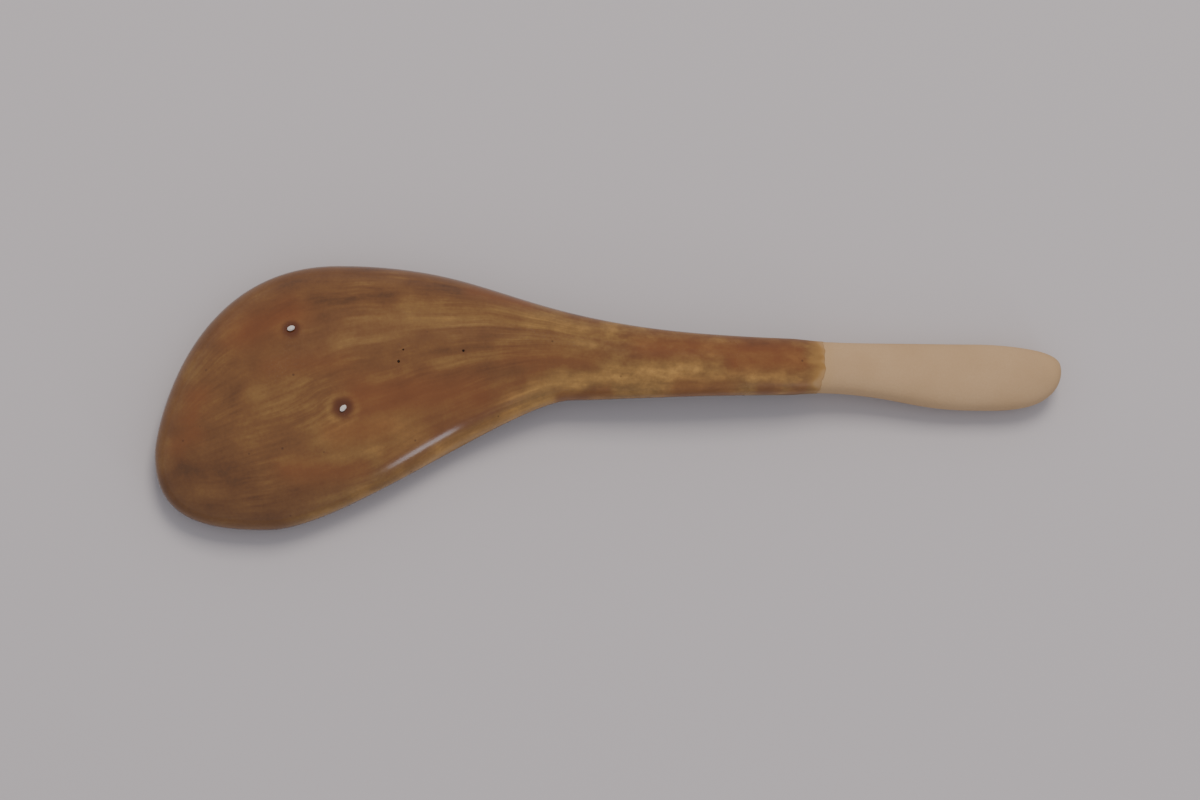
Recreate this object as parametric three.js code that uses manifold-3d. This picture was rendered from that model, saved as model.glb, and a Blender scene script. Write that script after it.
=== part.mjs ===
// A hand-formed stoneware spoon with a skewed bowl, lying face down on a table.
// Millimetres, +Z up. X runs from the bowl's front to the end of the grip. The bowl has a low shoulder towards +Y
// and a full lobe towards -Y. A thin coat of glaze covers the bowl and the stem and ends at a dip line.
import * as THREE from "three";
import { ParametricGeometry } from "three/addons/geometries/ParametricGeometry.js";
import { mergeVertices } from "three/addons/utils/BufferGeometryUtils.js";
import Module from "manifold-3d";

const wasm = await Module();
wasm.setup();

// Lengths of the clay along X
const BOWL_LENGTH = 77; // bowl front to the neck
const STEM_LENGTH = 45; // neck to the waist
const GRIP_LENGTH = 51; // waist to the end of the grip
const GRIP_SWELL_LENGTH = 17.5; // end of the grip back to its widest place
const SHOULDER_STATION = 33.5; // bowl front to the widest place of the shoulder
const LOBE_STATION = 20.5; // bowl front to the widest place of the lobe
const CROWN_STATION = 42; // bowl front to where the back starts to slope towards the stem
const RIM_LIFT_STATION = 48; // bowl front to where the rim leaves the table
const ARCH_STATION = 96; // bowl front to the top of the arch under the stem

// Reaches of the clay across Y, from the stem's axis
const FRONT_OFFSET = 16; // foremost point of the bowl, towards the lobe
const SHOULDER_REACH = 19.2;
const LOBE_REACH = 29.9;
const NECK_REACH = 6; // lobe side of the neck
const WAIST_WIDTH = 10;
const GRIP_SHOULDER_REACH = 5;
const GRIP_LOBE_REACH = 8.1;
const END_OFFSET = 0.6; // foremost point of the grip's end, towards the shoulder

// Heights and thicknesses of the clay
const BOWL_HEIGHT = 12.6; // underside of the rim to the crown of the back
const RIM_EDGE_HEIGHT = 3.8; // underside of the rim to its widest line
const WALL = 4;
const RIM_WIDTH = 4.2;
const RIM_ROUND = 3;
const HOLLOW_LENGTH = 68; // front rim to the end of the hollow at the neck
const HOLLOW_FRONT_RAMP = 20; // length over which the hollow deepens behind the front rim
const HOLLOW_NECK_RAMP = 40; // length over which it runs out towards the neck
const FRONT_ROUND = 22; // length over which the back rises from the front edge
const END_ROUND = 5;
const STEM_THICKNESS = 8;
const ARCH_HEIGHT = 3.6; // table to the underside of the stem
const GRIP_THICKNESS = 8.4;
const FOOT_CUT = 0.3; // depth of the flat foot under the grip

// Glaze
const GLAZE_THICKNESS = 0.35;
const BOND_GAP = 0.15;
const DIP_FROM_WAIST = 3; // waist to the dip line, towards the end
const DIP_SLANT = 1.2; // how much further the glaze reaches on the shoulder side than on the lobe side
const LIP_LENGTH = 1.2; // length over which the glaze thins to its lip

// Kiln pin marks
const MARK_RADIUS = 0.85;
const MARK_CLEARANCE = 0.3;
const MARK_PROUD = 0.15; // height of the mark over the glaze
const MARK_CROWN = 0.25; // height of its rounded top
const SHOULDER_MARK_STATION = 24.4;
const SHOULDER_MARK_REACH = 5.8;
const LOBE_MARK_STATION = 33.7;
const LOBE_MARK_REACH = 9.2;

// Shape of the curves: how far an edge runs on in its two end directions, as shares of the run between them
const FRONT_TO_SHOULDER = [0.13, 0.81];
const SHOULDER_TO_WAIST = [0.39, 0.64];
const SHOULDER_WAIST_TO_GRIP = [0.4, 0.4];
const SHOULDER_GRIP_TO_END = [0.42, 0.69];
const FRONT_TO_LOBE = [0.88, 0.55];
const LOBE_TO_NECK = [0.235, 0.195];
const NECK_TO_WAIST = [0.4, 0.3];
const LOBE_WAIST_TO_GRIP = [0.55, 0.41];
const LOBE_GRIP_TO_END = [0.31, 1.1];
const HOLLOW_SQUARENESS = 6;
const HOLLOW_FRONT_SQUARENESS = 4.5;
const HOLLOW_LIP = 2; // how softly the hollow starts at its lip
const LIP_SHARE = 0.4; // thickness of the glaze at its lip, as a share of its full thickness

// Facets
const COAT_RINGS = 36;
const BARE_RINGS = 14;
const RING_CROWDING = 0.6; // how much closer the rings lie at the rounded front and end, from 0 for even rings to 1
const SIDES = 32;
const MARK_SIDES = 16;
const MARK_CROWN_STEPS = 4;

// Fineness of the sums
const BACK_TURN = 0.75; // turn of the section at the middle of its back
const SKIN_STEP = 1e-3; // step along the skin, as a share, that its direction is measured over
const HALVINGS = 40;
const MERGE_DISTANCE = 1e-4;

const COAT = BOND_GAP + GLAZE_THICKNESS;
const NECK_STATION = BOWL_LENGTH;
const WAIST_STATION = NECK_STATION + STEM_LENGTH;
const END_STATION = WAIST_STATION + GRIP_LENGTH;
const GRIP_STATION = END_STATION - GRIP_SWELL_LENGTH;

// A point that an edge passes, and the way that the edge runs there
const knot = (x, y, headingX, headingY) => ({
  at: new THREE.Vector2(x, y),
  heading: new THREE.Vector2(headingX, headingY),
});

// A smooth edge through knots, with one bend between each two
function edgeThrough(knots, bends) {
  const edge = new THREE.CurvePath();
  bends.forEach(([leaving, arriving], i) => {
    const from = knots[i];
    const to = knots[i + 1];
    const run = to.at.clone().sub(from.at);
    const pull = (end, share) => end.heading.clone().multiplyScalar(share * Math.abs(run.dot(end.heading)));
    const afterFrom = from.at.clone().add(pull(from, leaving));
    const beforeTo = to.at.clone().sub(pull(to, arriving));
    edge.add(new THREE.CubicBezierCurve(from.at, afterFrom, beforeTo, to.at));
  });
  return edge;
}

const shoulderEdge = edgeThrough(
  [
    knot(0, -FRONT_OFFSET, 0, 1),
    knot(SHOULDER_STATION, SHOULDER_REACH, 1, 0),
    knot(WAIST_STATION, WAIST_WIDTH / 2, 1, 0),
    knot(GRIP_STATION, GRIP_SHOULDER_REACH, 1, 0),
    knot(END_STATION, END_OFFSET, 0, -1),
  ],
  [FRONT_TO_SHOULDER, SHOULDER_TO_WAIST, SHOULDER_WAIST_TO_GRIP, SHOULDER_GRIP_TO_END],
);

const lobeEdge = edgeThrough(
  [
    knot(0, -FRONT_OFFSET, 0, -1),
    knot(LOBE_STATION, -LOBE_REACH, 1, 0),
    knot(NECK_STATION, -NECK_REACH, 1, 0),
    knot(WAIST_STATION, -WAIST_WIDTH / 2, 1, 0),
    knot(GRIP_STATION, -GRIP_LOBE_REACH, 1, 0),
    knot(END_STATION, END_OFFSET, 0, 1),
  ],
  [FRONT_TO_LOBE, LOBE_TO_NECK, NECK_TO_WAIST, LOBE_WAIST_TO_GRIP, LOBE_GRIP_TO_END],
);

// A height along X that eases from each stop to the next
function easing(stops) {
  return (x) =>
    stops.slice(1).reduce((height, [to, next], i) => {
      const [from, last] = stops[i];
      return height + (next - last) * THREE.MathUtils.smoothstep(x, from, to);
    }, stops[0][1]);
}

const backHeight = easing([
  [CROWN_STATION, COAT + BOWL_HEIGHT],
  [ARCH_STATION, ARCH_HEIGHT + STEM_THICKNESS],
  [GRIP_STATION, GRIP_THICKNESS - FOOT_CUT],
]);
const edgeHeight = easing([
  [RIM_LIFT_STATION, COAT + RIM_EDGE_HEIGHT],
  [ARCH_STATION, ARCH_HEIGHT + STEM_THICKNESS / 2],
  [GRIP_STATION, GRIP_THICKNESS / 2 - FOOT_CUT],
]);
const underHeight = easing([
  [RIM_LIFT_STATION, COAT],
  [ARCH_STATION, ARCH_HEIGHT],
  [GRIP_STATION, -FOOT_CUT],
]);

// Quarter of an ellipse, from 0 at an edge to 1 where its rounding ends
const quarter = (share) => Math.sqrt(1 - (1 - THREE.MathUtils.clamp(share, 0, 1)) ** 2);

// Depth of the hollow, from 1 in its middle to 0 at its lip
const dish = (share, squareness) => (1 - Math.min(Math.abs(share), 1) ** squareness) ** HOLLOW_LIP;

// Depth of the hollow along the bowl, as a share of its full depth
function hollowAlong(x) {
  const behindRim = THREE.MathUtils.clamp((x - RIM_WIDTH) / HOLLOW_FRONT_RAMP, 0, 1);
  const front = dish(1 - behindRim, HOLLOW_FRONT_SQUARENESS);
  const end = RIM_WIDTH + HOLLOW_LENGTH;
  return front * (1 - THREE.MathUtils.smoothstep(x, end - HOLLOW_NECK_RAMP, end));
}

// Point on the clay's skin: along runs from the front (0) to the end (1), turn once round the section
function clayPoint(along, turn) {
  const shoulder = shoulderEdge.getPoint(along);
  const lobe = lobeEdge.getPoint(along);
  const x = (shoulder.x + lobe.x) / 2;
  const halfWidth = shoulder.distanceTo(lobe) / 2;
  const angle = -2 * Math.PI * turn;
  const across = Math.cos(angle);
  const endRound = quarter((END_STATION - x) / END_ROUND);
  const edge = edgeHeight(x);
  let z = edge;
  if (Math.sin(angle) > 0) {
    z += (backHeight(x) - edge) * quarter(x / FRONT_ROUND) * endRound * Math.sin(angle);
  } else {
    const stemShare = THREE.MathUtils.smoothstep(x, RIM_LIFT_STATION, ARCH_STATION);
    const roundShare = THREE.MathUtils.lerp(Math.min(RIM_ROUND / halfWidth, 1), 1, stemShare);
    const under = underHeight(x);
    const belly = (edge - under) * quarter(x / RIM_ROUND) * endRound;
    z -= belly * quarter((1 - Math.abs(across)) / roundShare);
    if (halfWidth > RIM_WIDTH) {
      const depth = backHeight(x) - under - WALL;
      const inside = (across * halfWidth) / (halfWidth - RIM_WIDTH);
      z += depth * hollowAlong(x) * dish(inside, HOLLOW_SQUARENESS);
    }
  }
  const place = lobe.clone().lerp(shoulder, (1 + across) / 2);
  return new THREE.Vector3(place.x, place.y, z);
}

// Point that stands off the clay's skin by a distance, square to the skin
function offsetPoint(along, turn, distance) {
  const before = Math.max(along - SKIN_STEP, 0);
  const after = Math.min(along + SKIN_STEP, 1);
  const lengthwise = clayPoint(after, turn).sub(clayPoint(before, turn));
  const round = clayPoint(along, turn + SKIN_STEP).sub(clayPoint(along, turn - SKIN_STEP));
  const outward = lengthwise.cross(round);
  if (along === 0 || outward.lengthSq() === 0) outward.set(along < 0.5 ? -1 : 1, 0, 0);
  return clayPoint(along, turn).addScaledVector(outward.normalize(), distance);
}

// Share of the length at which a line along the skin, at one turn of the section, passes a station
function shareAt(station, turn) {
  let low = 0;
  let high = 1;
  for (let i = 0; i < HALVINGS; i++) {
    const middle = (low + high) / 2;
    if (clayPoint(middle, turn).x < station) low = middle;
    else high = middle;
  }
  return (low + high) / 2;
}

const DIP_STATION = WAIST_STATION + DIP_FROM_WAIST;
const dipShare = shareAt(DIP_STATION, BACK_TURN);
const lipShare = dipShare - shareAt(DIP_STATION - LIP_LENGTH, BACK_TURN);

// The dip line, which leans from one side of the stem to the other, at each line of facets
const dips = Array.from({ length: SIDES + 1 }, (_, side) => {
  const turn = side / SIDES;
  return shareAt(DIP_STATION + (DIP_SLANT / 2) * Math.cos(2 * Math.PI * turn), turn);
});
const dipAt = (turn) => dips[Math.round(turn * SIDES)];

// Rings lie closer together at the rounded front and end
const closerAtStart = (t) => t * (1 - RING_CROWDING + RING_CROWDING * t);

// A closed solid from a mesh, with its shared vertices merged and its collapsed triangles left out
function toSolid(geometry) {
  const bare = new THREE.BufferGeometry();
  bare.setAttribute("position", geometry.getAttribute("position"));
  bare.setIndex(geometry.index);
  const merged = mergeVertices(bare, MERGE_DISTANCE);
  const corners = merged.index.array;
  const triVerts = [];
  for (let i = 0; i < corners.length; i += 3) {
    const triangle = corners.slice(i, i + 3);
    if (new Set(triangle).size === 3) triVerts.push(...triangle);
  }
  const mesh = new wasm.Mesh({
    numProp: 3,
    vertProperties: merged.getAttribute("position").array,
    triVerts: new Uint32Array(triVerts),
  });
  return new wasm.Manifold(mesh);
}

// A named mesh from a solid
function toMesh(name, solid, material) {
  const { vertProperties, triVerts } = solid.getMesh();
  const geometry = new THREE.BufferGeometry();
  geometry.setAttribute("position", new THREE.BufferAttribute(vertProperties, 3));
  geometry.setIndex(new THREE.BufferAttribute(triVerts, 1));
  geometry.computeVertexNormals();
  const mesh = new THREE.Mesh(geometry, material);
  mesh.name = name;
  return mesh;
}

// Clay: the rings under the glaze, then those of the bare grip, and a flat foot where the grip rests
function makeClay() {
  const rings = COAT_RINGS + BARE_RINGS;
  const skin = new ParametricGeometry(
    (u, turn, target) => {
      const ring = u * rings;
      const dip = dipAt(turn);
      const along =
        ring <= COAT_RINGS
          ? dip * closerAtStart(ring / COAT_RINGS)
          : 1 - (1 - dip) * closerAtStart((rings - ring) / BARE_RINGS);
      target.copy(clayPoint(along, turn));
    },
    rings,
    SIDES,
  );
  const table = new THREE.BoxGeometry(GRIP_LENGTH, 4 * GRIP_LOBE_REACH, GRIP_THICKNESS);
  table.translate(END_STATION - GRIP_LENGTH / 2, 0, -GRIP_THICKNESS / 2);
  const material = new THREE.MeshStandardMaterial({ color: 0xad9378, roughness: 0.85, metalness: 0 });
  return toMesh("clay_body", toSolid(skin).subtract(toSolid(table)), material);
}

// Envelope of the spoon from its front to a capped end near the dip line. The stand-off from the clay is given at
// each share of the length and turn, and past is how far the last ring lies beyond the dip line.
function envelope(standOff, past) {
  const rings = COAT_RINGS + 2;
  const capShare = dipShare + past;
  const cap = clayPoint(capShare, 0).add(clayPoint(capShare, 0.5)).divideScalar(2);
  const skin = new ParametricGeometry(
    (u, turn, target) => {
      const ring = Math.round(u * rings);
      if (ring === rings) {
        target.copy(cap);
        return;
      }
      const dip = dipAt(turn);
      const along = ring > COAT_RINGS ? dip + past : dip * closerAtStart(ring / COAT_RINGS);
      target.copy(offsetPoint(along, turn, standOff(along, dip)));
    },
    rings,
    SIDES,
  );
  return toSolid(skin);
}

// Glaze: an even coat over the clay that thins to a lip at the dip line, with a hole for each pin mark
function makeGlaze(holes) {
  const thicknessAt = (along, dip) =>
    GLAZE_THICKNESS * THREE.MathUtils.lerp(LIP_SHARE, 1, quarter((dip - along) / lipShare));
  const outside = envelope((along, dip) => BOND_GAP + thicknessAt(along, dip), 0);
  const inside = envelope(() => BOND_GAP, lipShare);
  const coat = holes.reduce((rest, hole) => rest.subtract(toSolid(hole)), outside.subtract(inside));
  const material = new THREE.MeshStandardMaterial({ color: 0x755032, roughness: 0.3, metalness: 0 });
  return toMesh("glaze_coat", coat, material);
}

// Seat of a pin mark on the back of the clay, with its axis square to the skin
function seatOn(clay, station, reach) {
  const above = new THREE.Vector3(station, reach, 2 * BOWL_HEIGHT);
  const [hit] = new THREE.Raycaster(above, new THREE.Vector3(0, 0, -1)).intersectObject(clay);
  const turn = new THREE.Quaternion().setFromUnitVectors(new THREE.Vector3(0, 1, 0), hit.face.normal);
  return new THREE.Matrix4().compose(hit.point, turn, new THREE.Vector3(1, 1, 1));
}

// Hole through the glaze for a pin mark
function markHole(seat) {
  const radius = MARK_RADIUS + MARK_CLEARANCE;
  const hole = new THREE.CylinderGeometry(radius, radius, 4 * COAT, MARK_SIDES);
  return hole.applyMatrix4(seat);
}

// Pin mark: a low white stub with a rounded top, seated on the clay
function makeMark(name, seat) {
  const top = COAT + MARK_PROUD;
  const profile = new THREE.Path();
  profile.moveTo(0, BOND_GAP);
  profile.lineTo(MARK_RADIUS, BOND_GAP);
  profile.lineTo(MARK_RADIUS, top - MARK_CROWN);
  profile.quadraticCurveTo(MARK_RADIUS, top, 0, top);
  const stub = new THREE.LatheGeometry(profile.getPoints(MARK_CROWN_STEPS), MARK_SIDES).applyMatrix4(seat);
  const material = new THREE.MeshStandardMaterial({ color: 0xafaaa6, roughness: 0.7, metalness: 0 });
  return toMesh(name, toSolid(stub), material);
}

const clay = makeClay();
const shoulderSeat = seatOn(clay, SHOULDER_MARK_STATION, SHOULDER_MARK_REACH);
const lobeSeat = seatOn(clay, LOBE_MARK_STATION, -LOBE_MARK_REACH);
const glaze = makeGlaze([markHole(shoulderSeat), markHole(lobeSeat)]);

const spoon = new THREE.Group();
spoon.add(clay);
spoon.add(glaze);
spoon.add(makeMark("pin_mark_shoulder", shoulderSeat));
spoon.add(makeMark("pin_mark_lobe", lobeSeat));

// The origin is on the table, under the middle of the spoon
const middle = new THREE.Box3().setFromObject(spoon).getCenter(new THREE.Vector3());
spoon.position.set(-middle.x, -middle.y, 0);

export default spoon;
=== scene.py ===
"""Looks of a hand-formed stoneware spoon: a streaked brown glaze, a bare clay grip and two pin marks."""

import logging
from collections.abc import Sequence
from dataclasses import dataclass
from enum import Enum
from typing import Any, ClassVar

import bmesh
import bpy
import numpy as np
from mathutils import Matrix, Vector, noise
from mathutils.geometry import interpolate_bezier


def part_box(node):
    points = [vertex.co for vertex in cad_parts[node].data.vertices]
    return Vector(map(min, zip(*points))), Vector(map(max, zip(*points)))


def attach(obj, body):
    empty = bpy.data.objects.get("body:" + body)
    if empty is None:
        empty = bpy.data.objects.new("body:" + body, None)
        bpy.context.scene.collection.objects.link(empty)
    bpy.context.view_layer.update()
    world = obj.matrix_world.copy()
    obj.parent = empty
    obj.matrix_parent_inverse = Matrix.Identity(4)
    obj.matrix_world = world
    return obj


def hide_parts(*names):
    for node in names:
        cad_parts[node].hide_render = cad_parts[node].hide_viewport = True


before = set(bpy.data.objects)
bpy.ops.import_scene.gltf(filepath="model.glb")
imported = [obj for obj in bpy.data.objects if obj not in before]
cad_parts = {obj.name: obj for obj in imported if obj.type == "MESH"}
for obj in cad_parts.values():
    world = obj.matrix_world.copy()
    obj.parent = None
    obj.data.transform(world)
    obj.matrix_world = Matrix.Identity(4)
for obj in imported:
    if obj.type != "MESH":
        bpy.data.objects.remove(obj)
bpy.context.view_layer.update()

ROOT = "root"
FLOW_LAYER = "flow"
TONES_LAYER = "tones"
SPOTS_LAYER = "spots"
WELD_DISTANCE = 1e-7
HALF = 0.5
EVEN_SHARE = 0.3

Array = np.ndarray
BMesh = bmesh.types.BMesh
NodeTree = bpy.types.NodeTree
Socket = bpy.types.NodeSocket
Colour = tuple[float, float, float, float]
Place = tuple[float, float]
Triple = tuple[float, float, float]
log = logging.getLogger("spoon")


def smoothstep(value: Array, low: float, high: float) -> Array:
    """Eases from 0 to 1 between two values."""
    share = np.clip((value - low) / (high - low), 0, 1)
    return share * share * (3 - 2 * share)


def quarter(share: Array) -> Array:
    """Follows a quarter of an ellipse from 0 at an edge to 1 where its rounding ends."""
    return np.sqrt(1 - (1 - np.clip(share, 0, 1)) ** 2)


def section(turn: Array) -> tuple[Array, Array]:
    """Finds how far across and how high each turn round a section lies, from -1 to 1."""
    angle = 2 * np.pi * turn
    return np.cos(angle), -np.sin(angle)


def easing(station: Array, stops: Sequence[Place]) -> Array:
    """Eases a height along the spoon from each stop to the next.

    Args:
        station: Stations along the spoon.
        stops: Pairs of a station and its height.

    Returns:
        The height at each station.
    """
    height = np.full_like(station, stops[0][1])
    for (start, last), (end, following) in zip(stops, stops[1:]):
        height += (following - last) * smoothstep(station, start, end)
    return height


def wave(points: Array, scale: float, shift: float = 0.0) -> Array:
    """Reads smooth noise, from about -1 to 1, at points. The scale is in waves to a metre."""
    moved = points * scale + shift
    return np.array([noise.noise(Vector(row)) for row in moved])


@dataclass(frozen=True)
class Knot:
    """A point that an edge of the outline passes, and the way that the edge runs there."""

    at: Place
    heading: Place


class Edge:
    """A smooth edge of the spoon's outline through knots, with one bend between each two."""

    STEPS = 200

    def __init__(self, knots: Sequence[Knot], bends: Sequence[Place]) -> None:
        """Draws the edge.

        Args:
            knots: The points that the edge passes.
            bends: How far the edge runs on in its two end directions, as shares of each run.
        """
        line: list[Vector] = []
        for (leaving, arriving), start, end in zip(bends, knots, knots[1:]):
            first, last = Vector(start.at), Vector(end.at)
            away, towards = Vector(start.heading), Vector(end.heading)
            run = last - first
            after = first + away * leaving * abs(run.dot(away))
            before = last - towards * arriving * abs(run.dot(towards))
            line += interpolate_bezier(first, after, before, last, self.STEPS)
        self._points = np.array([point[:2] for point in line])
        steps = np.linalg.norm(np.diff(self._points, axis=0), axis=1)
        self._length = np.concatenate([[0.0], np.cumsum(steps)])

    def at(self, share: Array) -> Array:
        """Finds a row of X and Y at each share of the edge's length."""
        run = share * self._length[-1]
        return np.stack([np.interp(run, self._length, column) for column in self._points.T], axis=-1)


@dataclass(frozen=True)
class SkinSizes:
    """Sizes of the clay's skin in metres: stations from the bowl's front, reaches from the stem's axis."""

    neck: float = 0.077
    waist: float = 0.122
    grip: float = 0.1555
    end: float = 0.173
    shoulder: float = 0.0335
    lobe: float = 0.0205
    crown: float = 0.042
    rim_lift: float = 0.048
    arch: float = 0.096
    front_offset: float = 0.016
    shoulder_reach: float = 0.0192
    lobe_reach: float = 0.0299
    neck_reach: float = 0.006
    waist_reach: float = 0.0050
    grip_shoulder_reach: float = 0.0050
    grip_lobe_reach: float = 0.0081
    end_offset: float = 0.0006
    coat: float = 0.0005
    bowl_height: float = 0.0126
    rim_edge_height: float = 0.0038
    wall: float = 0.004
    rim_width: float = 0.0042
    rim_round: float = 0.003
    hollow_length: float = 0.068
    hollow_front_ramp: float = 0.02
    hollow_neck_ramp: float = 0.04
    front_round: float = 0.022
    end_round: float = 0.004
    stem_thickness: float = 0.008
    arch_height: float = 0.0036
    grip_thickness: float = 0.0084
    foot_cut: float = 0.0003
    flatness: float = 0.3
    dip: float = 0.125
    dip_slant: float = 0.0012
    dip_wander: float = 0.0005
    hollow_squareness: float = 6.0
    hollow_front_squareness: float = 4.5
    hollow_lip: float = 2.0
    lump: float = 0.00012
    lump_scale: float = 48.0
    shoulder_bends: tuple[Place, ...] = ((0.13, 0.81), (0.39, 0.64), (0.4, 0.4), (0.42, 0.69))
    lobe_bends: tuple[Place, ...] = ((0.88, 0.55), (0.235, 0.195), (0.4, 0.3), (0.55, 0.41), (0.31, 1.1))


class SpoonSkin:
    """The clay's skin. A place on it is a share of the spoon's length and a turn round its section."""

    STEP = 1e-3
    ROUNDS = 8
    SAMPLES = 4001
    LEAST_WIDTH = 1e-6
    LEAST_AREA = 1e-14
    # Height, waves round the section and shift of each wave in the dip line.
    DIP_WAVES = ((0.35, 3, 0.6), (0.25, 7, 2.1), (0.12, 17, 0.0))
    FINE_LUMP = 0.15
    FINE_SCALE = 2.3
    FINE_SHIFT = 7.0
    LUMP_LEVEL = 0.6
    LUMP_STEEPNESS = 1.2

    def __init__(self, sizes: SkinSizes) -> None:
        """Draws the outline and finds where the CAD clay lies.

        Args:
            sizes: Sizes of the skin.
        """
        self.sizes = s = sizes
        lowest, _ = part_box("clay_body")
        self._origin = np.array([lowest.x, lowest.y + s.lobe_reach, 0.0])
        self._shoulder = Edge(
            [
                Knot((0, -s.front_offset), (0, 1)),
                Knot((s.shoulder, s.shoulder_reach), (1, 0)),
                Knot((s.waist, s.waist_reach), (1, 0)),
                Knot((s.grip, s.grip_shoulder_reach), (1, 0)),
                Knot((s.end, s.end_offset), (0, -1)),
            ],
            s.shoulder_bends,
        )
        self._lobe = Edge(
            [
                Knot((0, -s.front_offset), (0, -1)),
                Knot((s.lobe, -s.lobe_reach), (1, 0)),
                Knot((s.neck, -s.neck_reach), (1, 0)),
                Knot((s.waist, -s.waist_reach), (1, 0)),
                Knot((s.grip, -s.grip_lobe_reach), (1, 0)),
                Knot((s.end, s.end_offset), (0, 1)),
            ],
            s.lobe_bends,
        )
        shares = np.linspace(0, 1, self.SAMPLES)
        self._dip_share = np.interp(s.dip, self.station(shares), shares)

    def station(self, along: Array) -> Array:
        """Finds how far the middle of each section lies from the bowl's front."""
        return (self._shoulder.at(along)[:, 0] + self._lobe.at(along)[:, 0]) / 2

    def dip_at(self, turn: Array) -> Array:
        """Follows the dip line, which leans over the stem and wanders a little.

        Args:
            turn: Turns round the section.

        Returns:
            The share of the length at which the glaze ends.
        """
        s = self.sizes
        angle = 2 * np.pi * turn
        across = np.cos(angle)
        wander = sum(height * np.sin(waves * angle + shift) for height, waves, shift in self.DIP_WAVES)
        station = s.dip + s.dip_slant / 2 * across + s.dip_wander * wander
        share = np.full_like(turn, self._dip_share)
        for _ in range(self.ROUNDS):
            lobe = self._lobe.at(share)[:, 0]
            shoulder = self._shoulder.at(share)[:, 0]
            share += (station - lobe - (shoulder - lobe) * (1 + across) / 2) / s.end
        return share

    def hollow(self, station: Array) -> Array:
        """Follows the depth of the hollow along the bowl.

        Args:
            station: Metres from the bowl's front.

        Returns:
            The shares of the full depth.
        """
        s = self.sizes
        behind_rim = np.clip((station - s.rim_width) / s.hollow_front_ramp, 0, 1)
        end = s.rim_width + s.hollow_length
        run_out = 1 - smoothstep(station, end - s.hollow_neck_ramp, end)
        return (1 - (1 - behind_rim) ** s.hollow_front_squareness) ** s.hollow_lip * run_out

    def clay(self, along: Array, turn: Array) -> Array:
        """Finds places on the clay's even skin.

        Args:
            along: Shares of the spoon's length.
            turn: Turns round the section, from the shoulder's edge over the underside.

        Returns:
            One row of X, Y and Z in the part's frame for each place.
        """
        s = self.sizes
        shoulder, lobe = self._shoulder.at(along), self._lobe.at(along)
        station = (shoulder[:, 0] + lobe[:, 0]) / 2
        half_width = np.linalg.norm(shoulder - lobe, axis=1) / 2
        across, height = section(turn)
        end_round = quarter((s.end - station) / s.end_round)
        back = easing(
            station,
            [
                (s.crown, s.coat + s.bowl_height),
                (s.arch, s.arch_height + s.stem_thickness),
                (s.grip, s.grip_thickness - s.foot_cut),
            ],
        )
        edge = easing(
            station,
            [
                (s.rim_lift, s.coat + s.rim_edge_height),
                (s.arch, s.arch_height + s.stem_thickness / 2),
                (s.grip, s.grip_thickness / 2 - s.foot_cut),
            ],
        )
        under = easing(station, [(s.rim_lift, s.coat), (s.arch, s.arch_height), (s.grip, -s.foot_cut)])
        flattened = 1 - s.flatness * smoothstep(station, s.neck, s.waist)
        crowned = np.maximum(height, 0) ** flattened
        over = edge + (back - edge) * quarter(station / s.front_round) * end_round * crowned
        stem_share = smoothstep(station, s.rim_lift, s.arch)
        rim_share = np.minimum(s.rim_round / np.maximum(half_width, s.rim_round), 1)
        round_share = rim_share + (1 - rim_share) * stem_share
        belly = (edge - under) * quarter(station / s.rim_round) * end_round
        inside = half_width / np.maximum(half_width - s.rim_width, self.LEAST_WIDTH)
        dish = (1 - np.minimum(np.abs(across * inside), 1) ** s.hollow_squareness) ** s.hollow_lip
        depth = np.where(half_width > s.rim_width, (back - under - s.wall) * self.hollow(station) * dish, 0)
        below = edge - belly * quarter((1 - np.abs(across)) / round_share) + depth
        plan = lobe + (shoulder - lobe) * ((1 + across) / 2)[:, None]
        points = np.column_stack([plan, np.where(height > 0, over, below)])
        return points + self._origin

    def outward(self, along: Array, turn: Array) -> Array:
        """Finds the direction square to the skin.

        Args:
            along: Shares of the spoon's length.
            turn: Turns round the section.

        Returns:
            One unit row for each place.
        """
        before, after = np.maximum(along - self.STEP, 0), np.minimum(along + self.STEP, 1)
        lengthwise = self.clay(after, turn) - self.clay(before, turn)
        around = self.clay(along, turn + self.STEP) - self.clay(along, turn - self.STEP)
        square = np.cross(lengthwise, around)
        length = np.linalg.norm(square, axis=1)
        at_tip = (length < self.LEAST_AREA) | (along <= 0) | (along >= 1)
        square[at_tip] = np.where(along[at_tip] < HALF, -1.0, 1.0)[:, None] * np.array([1.0, 0.0, 0.0])
        return square / np.linalg.norm(square, axis=1)[:, None]

    def raised(self, along: Array, turn: Array, stand_off: Array) -> Array:
        """Finds places at a distance from the hand-formed skin, which is a little uneven.

        Args:
            along: Shares of the spoon's length.
            turn: Turns round the section.
            stand_off: Distance from the clay, square to the skin.

        Returns:
            One row of X, Y and Z for each place.
        """
        s = self.sizes
        even = self.clay(along, turn)
        fine = wave(even, self.FINE_SCALE * s.lump_scale, self.FINE_SHIFT)
        unevenness = wave(even, s.lump_scale) + self.FINE_LUMP * fine
        sunk = s.lump * (self.LUMP_LEVEL + self.LUMP_LEVEL * np.tanh(self.LUMP_STEEPNESS * unevenness))
        return even + self.outward(along, turn) * (stand_off - sunk)[:, None]


class Tone(Enum):
    """What a brush stroke does to the glaze's colour. The value is its channel in the tones layer."""

    DARK = 0
    # Amber glaze, and painted light: some amber strokes lift sides that face away from the key lamp or paint
    # a highlight.
    AMBER_AND_PAINTED_LIGHT = 1
    RED = 2


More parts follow.
